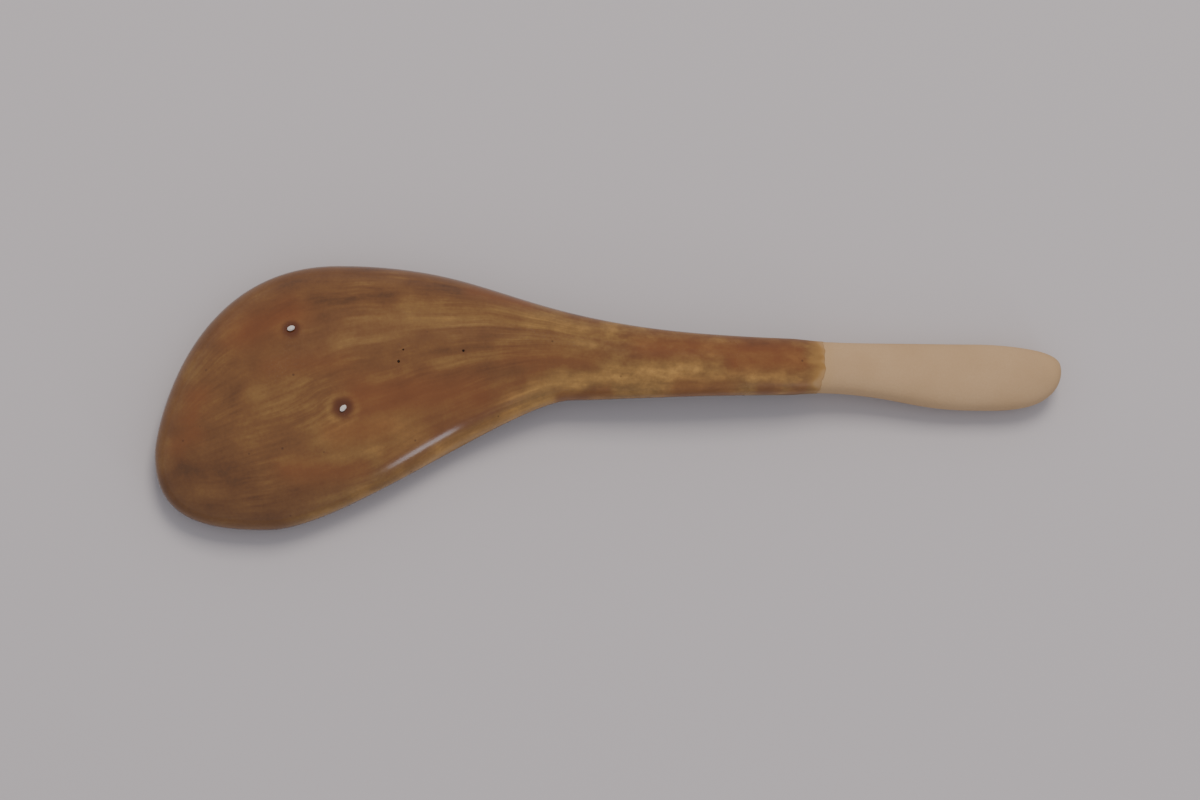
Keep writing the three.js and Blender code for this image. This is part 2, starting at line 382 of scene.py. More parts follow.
@dataclass(frozen=True)
class Stroke:
    """A soft brush stroke on the back of the spoon, in metres: mostly glaze colour, and a few amber ones are
    painted light.
    """

    tone: Tone
    start: Place
    end: Place
    half_width: float
    strength: float

    SOFTNESS: ClassVar[float] = 1.45
    TO_METRE: ClassVar[int] = 10_000

    @classmethod
    def from_row(cls, tone: Tone, row: Sequence[float]) -> "Stroke":
        """Reads a stroke from a row of the table below."""
        x, y, end_x, end_y, half_width = (size / cls.TO_METRE for size in row[:-1])
        return cls(tone, (x, y), (end_x, end_y), half_width, row[-1])

    def weight(self, plan: Array) -> Array:
        """Measures how much of the stroke lies at each place.

        Args:
            plan: Rows of X and Y.

        Returns:
            Weights from 0 to the stroke's strength.
        """
        start, run = np.array(self.start), np.array(self.end) - np.array(self.start)
        share = np.clip(((plan - start) @ run) / (run @ run), 0, 1)
        gap = np.linalg.norm(plan - start - share[:, None] * run, axis=1)
        return self.strength * np.exp(-((gap / (self.SOFTNESS * self.half_width)) ** 2))


# X and Y of the start and the end and the half width, in tenths of a millimetre, then the strength.
STROKE_ROWS: dict[Tone, tuple[tuple[float, ...], ...]] = {
    Tone.DARK: (
        (-560, 172, -426, 177, 15, 0.7), (-698, 111, -619, 162, 13, 0.6),
        (-400, 205, -204, 175, 11, 0.6), (-640, 205, -448, 236, 16, 0.45),
        (-448, 236, -300, 215, 14, 0.45), (-479, 2, -206, 40, 11, 0.55),
        (-344, 78, -255, 88, 9, 0.25), (-661, -112, -583, -104, 13, 0.35),
        (-820, -148, -712, -152, 24, 0.8), (-815, -200, -747, -220, 15, 0.55),
        (-714, -197, -593, -197, 19, 0.4), (-747, -33, -709, -8, 15, 0.25),
        (-39, 62, 26, 70, 11, 0.4), (47, 61, 84, 55, 9, 0.45),
        (240, 87, 315, 88, 8, 0.8), (155, 2, 190, 0, 8, 0.7),
        (266, 6, 287, 8, 7, 0.3), (-740, 122, -650, 158, 18, 0.5),
        (-180, 164, -50, 137, 9, 0.5), (-118, -4, -30, 2, 6, 0.4),
    ),
    Tone.AMBER_AND_PAINTED_LIGHT: (
        (-732, 101, -703, 136, 13, 0.5), (-800, 23, -776, 63, 13, 0.4),
        (-820, -27, -800, 13, 11, 0.2), (-849, -139, -839, -99, 11, 0.4),
        (-801, -195, -752, -180, 13, 0.4), (-743, -220, -699, -208, 11, 0.4),
        (-542, 81, -399, 98, 9, 0.35), (-475, 10, -401, 25, 8, 0.6),
        (-402, 140, -117, 147, 21, 0.48), (-355, 42, -245, 65, 11, 0.5),
        (-492, 127, -403, 138, 11, 0.35), (-202, -10, -117, 23, 13, 0.9),
        # Both strokes here are partly amber glaze thinning at the lobe's edge and partly painted light on
        # that flank, which faces away from the key lamp.
        (-378, -134, -201, -40, 18, 1.2), (-580, -226, -378, -138, 18, 0.8),
        (-622, -137, -466, -108, 11, 0.65), (-690, -84, -621, 10, 23, 0.3),
        (-699, -20, -660, 10, 11, 0.35), (-175, 10, -81, 25, 9, 0.9),
        (-82, 18, -13, 30, 10, 0.8), (-15, 30, 138, 42, 10, 0.75),
        # The first stroke here is painted light on the neck's lower side, which faces away from the key
        # lamp.
        (-215, -42, -95, 8, 12, 1.2), (-40, 18, 190, 26, 11, 0.5),
        # The second stroke here is painted light along the stem's lower side, which faces away from the key
        # lamp.
        (-171, 140, -40, 108, 16, 0.35), (-60, -10, 330, 2, 19, 0.7),
        (241, 25, 298, 30, 8, 0.5), (292, 14, 304, 32, 6, 0.6),
        # The second stroke here is a painted highlight along the stem's ridge.
        (78, 16, 97, 19, 6, 0.5), (2, 25, 200, 25, 4, 0.2),
        # Both strokes here are partly amber glaze and partly painted light on the bowl's lower flank, which
        # faces away from the key lamp.
        (-567, -85, -378, -78, 24, 0.6), (-460, -112, -395, -95, 18, 0.6),
        (-310, -42, -215, 6, 14, 0.4), (-350, -52, -290, -28, 16, 0.4),
        (-585, -120, -530, -116, 13, 0.4), (-130, 82, -65, 80, 15, 0.35),
    ),
    Tone.RED: (
        (-708, 104, -619, 144, 23, 0.7), (-274, 186, -174, 164, 9, 0.5),
        (-489, -18, -281, -8, 30, 0.7), (-229, 55, -120, 63, 14, 0.35),
        (-440, -130, -215, -12, 17, 0.45), (-805, -54, -786, -14, 15, 0.6),
        (-825, -103, -800, -83, 15, 0.5), (-534, -84, -456, -70, 19, 0.55),
        (-622, -150, -495, -150, 15, 0.6), (-660, 40, -523, 50, 15, 0.35),
        (-314, -42, -152, 34, 13, 0.4), (-176, 51, -58, 55, 13, 0.35),
        (41, 79, 333, 74, 15, 0.7), (-118, -4, -30, 2, 7, 0.8),
        (104, 4, 200, 2, 13, 0.85), (322, -2, 345, 6, 11, 0.8),
        (208, 52, 332, 54, 15, 0.75), (-525, -78, -375, -72, 22, 0.35),
        (262, 6, 290, 8, 9, 0.7),
    ),
}


@dataclass(frozen=True)
class NodeSheet:
    """Adds nodes to a node tree and joins them."""

    tree: NodeTree

    def add(self, kind: str, inputs: dict[str | int, Any] | None = None, **settings: Any) -> bpy.types.Node:
        """Adds a node.

        Args:
            kind: The node's type name.
            inputs: A value, or a socket to join, for each named or numbered input.
            **settings: Properties of the node.

        Returns:
            The node.
        """
        node = self.tree.nodes.new(kind)
        for name, value in settings.items():
            setattr(node, name, value)
        for key, value in (inputs or {}).items():
            self.join(node, key, value)
        return node

    def join(self, node: bpy.types.Node, key: str | int, value: Any) -> None:
        """Sets an input of a node.

        Args:
            node: The node.
            key: The input's name or number.
            value: A value, or a socket to join.
        """
        if isinstance(value, Socket):
            self.tree.links.new(value, node.inputs[key])
        else:
            node.inputs[key].default_value = value

    def math(self, operation: str, first: Any, second: Any = 0.0, clamp: bool = False) -> Socket:
        """Adds one sum, which can be kept from 0 to 1."""
        node = self.add("ShaderNodeMath", {0: first, 1: second}, operation=operation, use_clamp=clamp)
        return node.outputs[0]

    def mix(self, share: Any, first: Any, second: Any) -> Socket:
        """Mixes two colours."""
        node = self.add("ShaderNodeMix", {0: share, 6: first, 7: second}, data_type="RGBA")
        return node.outputs[2]

    def ease(self, value: Socket, span: Sequence[float]) -> Socket:
        """Maps a value evenly from one range to another, and keeps it there."""
        return self.add("ShaderNodeMapRange", dict(enumerate((value, *span))), clamp=True).outputs[0]


@dataclass(frozen=True)
class Pattern:
    """Soft patches: how many to a metre, how strongly they differ and how many finer ones are added."""

    scale: float
    contrast: float
    detail: float = 4.0


def mottle_group() -> NodeTree:
    """Makes the group that mottles a surface with soft patches.

    Returns:
        The node group.
    """
    roughness = 0.55
    tree = bpy.data.node_groups.new("mottle", "ShaderNodeTree")
    tree.interface.new_socket("Place", in_out="INPUT", socket_type="NodeSocketVector")
    for name in ("Scale", "Contrast", "Detail"):
        tree.interface.new_socket(name, in_out="INPUT", socket_type="NodeSocketFloat")
    tree.interface.new_socket("Share", in_out="OUTPUT", socket_type="NodeSocketFloat")
    sheet = NodeSheet(tree)
    given = sheet.add("NodeGroupInput").outputs
    joined = {key: given[key] for key in ("Scale", "Detail")}
    cloud = sheet.add("ShaderNodeTexNoise", {"Vector": given["Place"], "Roughness": roughness, **joined})
    centred = sheet.math("SUBTRACT", cloud.outputs[0], HALF)
    share = sheet.math("ADD", sheet.math("MULTIPLY", centred, given["Contrast"]), HALF, clamp=True)
    sheet.add("NodeGroupOutput", {"Share": share})
    return tree


class Finish:
    """A finish with its own material."""

    def __init__(self, name: str, mottle: NodeTree) -> None:
        """Starts the material.

        Args:
            name: The material's name.
            mottle: The group that mottles a surface.
        """
        self.material = bpy.data.materials.new(name)
        self.material.use_nodes = True
        self.sheet = NodeSheet(self.material.node_tree)
        self.shader = self.material.node_tree.nodes["Principled BSDF"]
        self._mottle = mottle
        self.place = self.sheet.add("ShaderNodeTexCoord").outputs["Object"]

    def mottle(self, place: Socket, pattern: Pattern) -> Socket:
        """Mottles the surface with values from 0 to 1 around a half."""
        inputs = dict(enumerate((place, pattern.scale, pattern.contrast, pattern.detail)))
        return self.sheet.add("ShaderNodeGroup", inputs, node_tree=self._mottle).outputs[0]

    def stretched(self, place: Socket, scale: Triple, pattern: Pattern) -> Socket:
        """Mottles the surface with long patches, with their own number to a metre along each axis."""
        scaled = self.sheet.add("ShaderNodeVectorMath", {0: place, 1: scale}, operation="MULTIPLY")
        return self.mottle(scaled.outputs[0], pattern)

    def layer(self, name: str) -> list[Socket]:
        """Reads the three channels of a colour layer of the piece."""
        stored = self.sheet.add("ShaderNodeAttribute", attribute_name=name).outputs["Color"]
        return list(self.sheet.add("ShaderNodeSeparateColor", {0: stored}).outputs)

    def set(self, name: str, value: Any) -> None:
        """Sets an input of the shader, or joins a socket to it."""
        self.sheet.join(self.shader, name, value)

    def bump(self, height: Socket, distance: float) -> None:
        """Gives the surface a fine relief."""
        relief = self.sheet.add("ShaderNodeBump", {"Height": height, "Distance": distance, "Strength": 1.0})
        self.set("Normal", relief.outputs[0])

    def roughen(self, grain: Socket, least: Socket | float, added: float, relief: float) -> None:
        """Sets a least roughness, to which the grain adds, and the grain's full height in metres."""
        self.set("Roughness", self.sheet.math("ADD", least, self.sheet.math("MULTIPLY", grain, added)))
        self.bump(grain, relief)


@dataclass(frozen=True)
class GlazeColours:
    """Colours of the glaze, from where it pooled to where it is thin."""

    pooled: Colour = (0.066, 0.028, 0.0105, 1)
    brown: Colour = (0.119, 0.048, 0.0150, 1)
    middle: Colour = (0.152, 0.066, 0.0200, 1)
    olive: Colour = (0.196, 0.100, 0.0290, 1)
    golden: Colour = (0.285, 0.150, 0.0420, 1)
    amber: Colour = (0.390, 0.205, 0.0540, 1)
    red: Colour = (0.172, 0.051, 0.0135, 1)
    scar: Colour = (0.085, 0.023, 0.0070, 1)
    # Near-black painted shade inside the pinhole pits.
    pinhole_shade: Colour = (0.012, 0.004, 0.0018, 1)
    speck: Colour = (0.052, 0.018, 0.0070, 1)
    fringe: Colour = (0.285, 0.148, 0.040, 1)
    thin: Colour = (0.370, 0.220, 0.095, 1)


@dataclass(frozen=True)
class GlazeShares:
    """How much each pattern and each painted layer moves the glaze's tone, and how rough the glaze is."""

    base: float = 0.33
    blotch: float = 0.22
    streak: float = 0.31
    brush: float = 0.27
    grain: float = 0.10
    daub: float = 0.36
    stem: float = 0.13
    stem_calm: float = 0.8
    # The amber layer holds amber glaze and painted light.
    amber: float = 0.34
    dark: float = 0.26
    red: float = 0.75
    rough: float = 0.06
    shine: float = 0.36
    relief: float = 0.00001
    # Where the tone takes each colour, from pooled to amber.
    stops: tuple[float, ...] = (0.08, 0.30, 0.48, 0.66, 0.86, 1.0)


class GlazeFinish(Finish):
    """Streaked brown glaze: dark where it pooled, amber where it is thin, with some painted light laid into
    its amber tone.
    """

    DRIFT = Pattern(42.0, 1.4, 2.0)
    STREAK = Pattern(1.0, 2.2, 2.0)
    BRUSH = Pattern(1.0, 2.4)
    DAUB = Pattern(1.0, 2.4, 3.0)
    BLOTCH = Pattern(185.0, 2.3, 5.0)
    PATCH = Pattern(95.0, 3.2, 2.0)
    GRAIN = Pattern(1700.0, 2.0, 2.0)
    STREAK_STRETCH = (30.0, 330.0, 1.0)
    BRUSH_STRETCH = (140.0, 1250.0, 1.0)
    DAUB_STRETCH = (280.0, 520.0, 520.0)
    WANDER = 0.004
    # Stations between which streaks fan out, brush marks spread, the stem begins and the glaze turns matt.
    FAN = (0.002, 0.042)
    SPREAD = (0.001, 0.014)
    STEM = (0.066, 0.086)
    DRY = (0.098, 0.122, 0.12, 0.42)
    SPECK_SCALE = 260.0
    SPECK_EDGE = (0.03, 0.08, 0.65, 0.0)
    SPECK_DRAW = 0.4

    def __init__(self, mottle: NodeTree, colours: GlazeColours, shares: GlazeShares) -> None:
        """Builds the material.

        Args:
            mottle: The group that mottles a surface.
            colours: Colours of the glaze.
            shares: How much each pattern and layer counts.
        """
        super().__init__("glaze", mottle)
        sheet = self.sheet
        self._tones = self.layer(TONES_LAYER)
        scar, pinhole_shade, fringe = self.layer(SPOTS_LAYER)
        self._flow = sheet.add("ShaderNodeAttribute", attribute_name=FLOW_LAYER).outputs["Vector"]
        self._station = sheet.add("ShaderNodeSeparateXYZ", {0: self._flow}).outputs[0]
        blotch = self.mottle(self.place, self.BLOTCH)
        ramp = sheet.add("ShaderNodeValToRGB", {0: self._tone(blotch, shares)})
        thick = (colours.pooled, colours.brown, colours.middle)
        shades = (*thick, colours.olive, colours.golden, colours.amber)
        while len(ramp.color_ramp.elements) < len(shades):
            ramp.color_ramp.elements.new(HALF)
        for element, position, shade in zip(ramp.color_ramp.elements, shares.stops, shades):
            element.position = position
            element.color = shade
        redness = sheet.math("MULTIPLY", self._tones[Tone.RED.value], shares.red, clamp=True)
        reddened = sheet.mix(redness, ramp.outputs[0], colours.red)
        fringed = sheet.mix(sheet.math("MULTIPLY", fringe, 1.0, clamp=True), reddened, colours.fringe)
        thinned = sheet.mix(sheet.math("SUBTRACT", fringe, 1.0, clamp=True), fringed, colours.thin)
        scarred = sheet.mix(scar, thinned, colours.scar)
        specked = sheet.mix(self._specks(), scarred, colours.speck)
        # The pinholes get a near-black painted shade.
        self.set("Base Color", sheet.mix(pinhole_shade, specked, colours.pinhole_shade))
        self.set("Specular IOR Level", shares.shine)
        self.roughen(blotch, sheet.ease(self._station, self.DRY), shares.rough, shares.relief)

    def _tone(self, blotch: Socket, shares: GlazeShares) -> Socket:
        """Adds up the glaze's tone from its patterns and the painted layers.

        Args:
            blotch: The broad blotches.
            shares: How much each pattern and layer counts.

        Returns:
            The tone, from 0 where the glaze pooled to 1 where it is thin or where painted light lifts it.
        """
        sheet = self.sheet
        dark, amber, _ = self._tones
        swing = sheet.math("SUBTRACT", self.mottle(self.place, self.DRIFT), HALF)
        drift = sheet.math("MULTIPLY", swing, self.WANDER)
        across = sheet.add("ShaderNodeCombineXYZ", {1: drift}).outputs[0]
        wandering = sheet.add("ShaderNodeVectorMath", {0: self._flow, 1: across}, operation="ADD").outputs[0]
        on_stem = sheet.ease(self._station, self.STEM)
        off_stem = sheet.math("SUBTRACT", 1.0, sheet.math("MULTIPLY", on_stem, shares.stem_calm))
        streaky = sheet.math("MULTIPLY", sheet.ease(self._station, self.FAN), off_stem)
        brushed = sheet.math("MULTIPLY", sheet.ease(self._station, self.SPREAD), off_stem)
        patchy = sheet.math("MULTIPLY", self.mottle(self.place, self.PATCH), shares.brush)
        patterns = (
            (self.stretched(wandering, self.STREAK_STRETCH, self.STREAK), streaky, shares.streak),
            (self.stretched(wandering, self.BRUSH_STRETCH, self.BRUSH), brushed, patchy),
            (self.mottle(self.place, self.GRAIN), 1.0, shares.grain),
            (self.stretched(self.place, self.DAUB_STRETCH, self.DAUB), on_stem, shares.daub),
        )
        tone = sheet.math("ADD", shares.base, sheet.math("MULTIPLY", blotch, shares.blotch))
        for pattern, where, share in patterns:
            swing = sheet.math("SUBTRACT", pattern, HALF)
            weight = sheet.math("MULTIPLY", where, share)
            tone = sheet.math("ADD", tone, sheet.math("MULTIPLY", swing, weight))
        # The amber layer also carries painted light, which lifts the tone like thin glaze.
        for layer, share in ((on_stem, shares.stem), (amber, shares.amber)):
            tone = sheet.math("ADD", tone, sheet.math("MULTIPLY", layer, share))
        return sheet.math("SUBTRACT", tone, sheet.math("MULTIPLY", dark, shares.dark), clamp=True)

    def _specks(self) -> Socket:
        """Scatters a few fine specks of iron in the glaze.

        Returns:
            The share of the speck's colour.
        """
        sheet = self.sheet
        cells = sheet.add("ShaderNodeTexVoronoi", {"Vector": self.place, "Scale": self.SPECK_SCALE})
        near = sheet.ease(cells.outputs["Distance"], self.SPECK_EDGE)
        draw = sheet.add("ShaderNodeSeparateColor", {0: cells.outputs["Color"]}).outputs[0]
        return sheet.math("MULTIPLY", near, sheet.math("GREATER_THAN", draw, self.SPECK_DRAW))


class ClayFinish(Finish):
    """Matt bare clay with a fine grain."""

    PALE: Colour = (0.480, 0.315, 0.171, 1)
    DEEP: Colour = (0.410, 0.260, 0.134, 1)
    STAIN: Colour = (0.420, 0.265, 0.125, 1)
    PATCHES = Pattern(110.0, 1.6)
    GRAIN = Pattern(2600.0, 2.4)
    GRAIN_SHARE = 0.35
    ROUGHNESS = (0.78, 0.15)
    RELIEF = 0.00003

    def __init__(self, mottle: NodeTree) -> None:
        """Builds the material.

        Args:
            mottle: The group that mottles a surface.
        """
        super().__init__("clay", mottle)
        sheet = self.sheet
        stain = self.layer(TONES_LAYER)[Tone.AMBER_AND_PAINTED_LIGHT.value]
        patches = self.mottle(self.place, self.PATCHES)
        grain = self.mottle(self.place, self.GRAIN)
        body = sheet.mix(patches, self.PALE, self.DEEP)
        grained = sheet.mix(sheet.math("MULTIPLY", grain, self.GRAIN_SHARE), body, self.DEEP)
        self.set("Base Color", sheet.mix(stain, grained, self.STAIN))
        self.roughen(grain, *self.ROUGHNESS, self.RELIEF)


class StubFinish(Finish):
    """White refractory of a broken kiln pin."""

    WHITE: Colour = (0.65, 0.605, 0.56, 1)
    WORN: Colour = (0.46, 0.41, 0.365, 1)
    GRAIN = Pattern(3200.0, 2.2)
    ROUGHNESS = (0.5, 0.3)
    RELIEF = 0.00004

    def __init__(self, mottle: NodeTree) -> None:
        """Builds the material.

        Args:
            mottle: The group that mottles a surface.
        """
        super().__init__("pin_stub", mottle)
        grain = self.mottle(self.place, self.GRAIN)
        self.set("Base Color", self.sheet.mix(grain, self.WHITE, self.WORN))
        self.roughen(grain, *self.ROUGHNESS, self.RELIEF)


def finish_piece(name: str, mesh: BMesh, node: str, finish: Finish) -> None:
    """Turns a mesh into a piece of the spoon that stands for a CAD node.

    Args:
        name: The piece's name.
        mesh: Its shape, which is freed.
        node: The CAD node.
        finish: The piece's finish.
    """
    for face in mesh.faces:
        face.smooth = True
    data = bpy.data.meshes.new(name)
    mesh.to_mesh(data)
    mesh.free()
    data.materials.append(finish.material)
    piece = bpy.data.objects.new(name, data)
    bpy.context.scene.collection.objects.link(piece)
    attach(piece, ROOT)
    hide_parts(node)
    log.info("%s: %d faces, stands for %s", name, len(data.polygons), node)


def even_ends(share: Array) -> Array:
    """Crowds rings at both ends of a skin."""
    return EVEN_SHARE * share + (1 - EVEN_SHARE) / 2 * (1 - np.cos(np.pi * share))


@dataclass(frozen=True)
class Scar:
    """Crater in the glaze round a kiln pin, in metres."""

    node: str
    radius: float
    stub: Triple
    turned: float
    halo: float
    depth: float = 0.00020
    lip: float = 0.00003
    # Shares of the radius, from the floor outwards.
    floor: float = 0.62
    dark: float = 0.95
    lip_width: float = 0.22
    halo_ring: float = 1.35
    halo_width: float = 0.3
    dark_share: float = 0.92
    wobble: float = 0.1
    wobble_scale: float = 900.0
    wobble_shift: float = 3.0

    def centre(self) -> Array:
        """Finds the crater's middle, the top of the CAD stub."""
        lowest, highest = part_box(self.node)
        return np.array([(lowest.x + highest.x) / 2, (lowest.y + highest.y) / 2, highest.z])

    def relief(self, places: Array) -> tuple[Array, Array]:
        """Follows the crater's form.

        Args:
            places: Places on the clay.

        Returns:
            How much higher the glaze is than round the crater, and how dark it is.
        """
        gap = np.linalg.norm(places - self.centre(), axis=1)
        ring = gap * (1 + self.wobble * wave(places, self.wobble_scale, self.wobble_shift)) / self.radius
        sunk = self.depth * np.exp(-((ring / self.floor) ** 4))
        raised = self.lip * np.exp(-(((ring - 1.0) / self.lip_width) ** 2))
        return raised - sunk, self.dark_share * np.exp(-((ring / self.dark) ** 8))

    def glow(self, places: Array) -> Array:
        """Follows the amber halo round the crater."""
        ring = np.linalg.norm(places - self.centre(), axis=1) / self.radius
        return self.halo * np.exp(-(((ring - self.halo_ring) / self.halo_width) ** 2))


@dataclass(frozen=True)
class GlazeSizes:
    """Sizes of the glaze in metres."""

    rings: int = 320
    sides: int = 168
    lining_rings: int = 150
    lining_sides: int = 96
    under_share: float = 1 / 3
    coat: float = 0.00045
    lining: float = 0.00004
    lining_share: float = 0.988
    tuck: float = 0.00003
    lip_share: float = 0.3
    lip_length: float = 0.0060
    lip_round: float = 0.0003
    fringe: float = 0.0026
    pinhole_depth: float = 0.00030
    pinholes: tuple[tuple[Place, float], ...] = (
        ((-0.04140, 0.00705), 0.00018),
        ((-0.04228, 0.00484), 0.00029),
        ((-0.03026, 0.00694), 0.00026),
    )
    ridge: tuple[Place, ...] = ((-0.0220, -0.0018), (-0.0081, 0.0024), (0.0000, 0.0043), (0.0140, 0.0048))
    ridge_height: float = 0.00008
    ridge_half_width: float = 0.0017
    swells: tuple[tuple[Place, float], ...] = (
        ((-0.0466, -0.0139), 0.00023),
        ((-0.0322, -0.0064), -0.00025),
    )
    swell_reach: float = 0.0062
    flow_width: float = 0.022
    back: Place = (0.0, 0.15)
    pinhole_floor: float = 0.5
    # How far the finer faces reach, and how often they are halved.
    pinhole_faces: tuple[float, int] = (0.0008, 3)
    scar_faces: tuple[float, int] = (1.5, 1)
    # Height, scale and shift of the waves in the glaze's edge, and of the drips round the section.
    edge_wave: Triple = (0.0009, 420.0, 11.0)
    drip_wave: Triple = (0.0012, 1.0, 3.0)
    drip_stretch: Triple = (120.0, 800.0, 800.0)
    # Share of the thin glaze, and where it starts and ends in fringe widths.
    thin_steps: tuple[Triple, ...] = ((0.9, 0.1, 1.4), (0.75, 0.0, 0.6))


@dataclass(frozen=True)
class PaintSizes:
    """How the brush strokes lie on the glaze, in metres and shares."""

    # Share, scale and the two shifts of each wave that bends the strokes.
    warps: tuple[tuple[float, float, Place], ...] = ((1.0, 190.0, (1.0, 5.0)), (0.5, 520.0, (2.0, 6.0)))
    sway: Place = (0.0015, 0.0006)
    stem_calm: float = 0.6
    stem: Place = (-0.02, 0.0)
    back: Place = (-0.05, 0.12)
    overlap: float = 0.3
    rim: Place = (0.93, 0.995)
    rim_sway: float = 0.03
    # Amber on the lobe's rim: partly glaze thinning at the edge, partly painted light on that side, which
    # faces away from the key lamp.
    rim_amber_and_light: float = 0.22
    lobe_side: Place = (-0.2, 0.2)
    under_dark: float = 0.45
    strongest: float = 2.0


@dataclass(frozen=True)
class GlazeCoat:
    """The glaze over the bowl and the stem, with its craters, pinholes and lip."""

    skin: SpoonSkin
    sizes: GlazeSizes
    paint: PaintSizes
    scars: Sequence[Scar]
    strokes: Sequence[Stroke]

    def _place(self, grid: Array) -> tuple[Array, Array]:
        """Turns places on the flat grid into places on the skin.

        Args:
            grid: Rows of the two grid coordinates, from -0.5 to 0.5.

        Returns:
            The shares of the length and the turns.
        """
        under = self.sizes.under_share
        column = grid[:, 1] + HALF
        below = HALF * column / under
        above = HALF + HALF * (column - under) / (1 - under)
        turn = np.where(column < under, below, above)
        return even_ends(grid[:, 0] + HALF) * self.skin.dip_at(turn), turn

    def _refine(self, mesh: BMesh, plan: Place, radius: float, rounds: int) -> None:
        """Divides the flat grid's faces near a place on the spoon's back.

        Args:
            mesh: The grid.
            plan: X and Y of the place.
            radius: How far the finer faces reach.
            rounds: How often the faces are halved.
        """
        for _ in range(rounds):
            faces = list(mesh.faces)
            middles = np.array([face.calc_center_median()[:2] for face in faces])
            along, turn = self._place(middles)
            gaps = np.linalg.norm(self.skin.clay(along, turn)[:, :2] - np.array(plan), axis=1)
            near = np.flatnonzero((gaps < radius) & (turn > HALF))
            edges = {edge for index in near for edge in faces[index].edges}
            bmesh.ops.subdivide_edges(mesh, edges=list(edges), cuts=1, use_grid_fill=True)

    def _stand_off(self, along: Array, turn: Array) -> tuple[Array, Array]:
        """Measures the glaze's outside over the clay, and its spots.

        Args:
            along: Shares of the length.
            turn: Turns round the section.

        Returns:
            The stand-offs, and rows of scar, pinhole and fringe shares.
        """
        z = self.sizes
        even = self.skin.clay(along, turn)
        length = self.skin.sizes.end
        to_lip = (self.skin.dip_at(turn) - along) * length
        thickness = z.lip_share + (1 - z.lip_share) * smoothstep(to_lip, 0, z.lip_length)
        stand_off = (z.coat + z.tuck) * thickness * quarter(to_lip / z.lip_round) - z.tuck
        spots = np.zeros((len(along), 4))
        spots[:, 3] = 1
        on_back = smoothstep(section(turn)[1], *z.back)
        for scar in self.scars:
            relief, darkness = scar.relief(even)
            stand_off += relief
            spots[:, 0] = np.maximum(spots[:, 0], darkness)
        for plan, radius in z.pinholes:
            gap = np.linalg.norm(even[:, :2] - np.array(plan), axis=1) / radius
            hole = (1 - smoothstep(gap, z.pinhole_floor, 1.0)) * on_back
            stand_off -= z.pinhole_depth * hole
            # This share also sets the painted shade in the pinhole pits.
            spots[:, 1] = np.maximum(spots[:, 1], hole)
        for start, end in zip(z.ridge, z.ridge[1:]):
            line = Stroke(Tone.AMBER_AND_PAINTED_LIGHT, start, end, z.ridge_half_width, 1.0)
            stand_off += z.ridge_height * line.weight(even[:, :2]) * on_back
        for plan, height in z.swells:
            gap = np.linalg.norm(even[:, :2] - np.array(plan), axis=1) / z.swell_reach
            stand_off += height * np.exp(-(gap**2)) * on_back
        ragged = to_lip.copy()
        for points, rise in ((even, z.edge_wave), (even * z.drip_stretch, z.drip_wave)):
            height, scale, shift = rise
            ragged += height * wave(points, scale, shift)
        for share, start, end in z.thin_steps:
            spots[:, 2] += share * (1 - smoothstep(ragged, start * z.fringe, end * z.fringe))
        return stand_off, spots

    def _tones(self, points: Array, turn: Array) -> Array:
        """Lays the brush strokes on the glaze.

        Args:
            points: Places on the clay.
            turn: Turns round the section.

        Returns:
            Rows of dark, amber and red shares.
        """
        across, height = section(turn)
        paint = self.paint
        warp = np.zeros((len(points), 2))
        for share, scale, shifts in paint.warps:
            warp += share * np.column_stack([wave(points, scale, shift) for shift in shifts])
        calm = 1 - paint.stem_calm * smoothstep(points[:, 0], *paint.stem)
        along, sideways = paint.sway
        plan = points[:, :2] + np.column_stack([along * warp[:, 0], sideways * calm * warp[:, 1]])
        back = smoothstep(height, *paint.back)
        tones = np.zeros((len(points), 4))
        tones[:, 3] = 1
        for stroke in self.strokes:
            weight = stroke.weight(plan) * back
            laid = tones[:, stroke.tone.value]
            tones[:, stroke.tone.value] = np.maximum(laid, weight) + paint.overlap * np.minimum(laid, weight)
        for scar in self.scars:
            tones[:, Tone.AMBER_AND_PAINTED_LIGHT.value] += scar.glow(points)
        # Amber along the lobe's rim: partly glaze thinning at the edge, partly painted light on that side,
        # which faces away from the key lamp.
        rim = smoothstep(np.abs(across) + paint.rim_sway * warp[:, 0], *paint.rim)
        tones[:, Tone.AMBER_AND_PAINTED_LIGHT.value] += paint.rim_amber_and_light * rim * smoothstep(-across, *paint.lobe_side)
        tones[:, Tone.DARK.value] += paint.under_dark * (1 - back) * (1 - rim)
        tones[:, :3] = np.clip(tones[:, :3], 0, paint.strongest)
        return tones

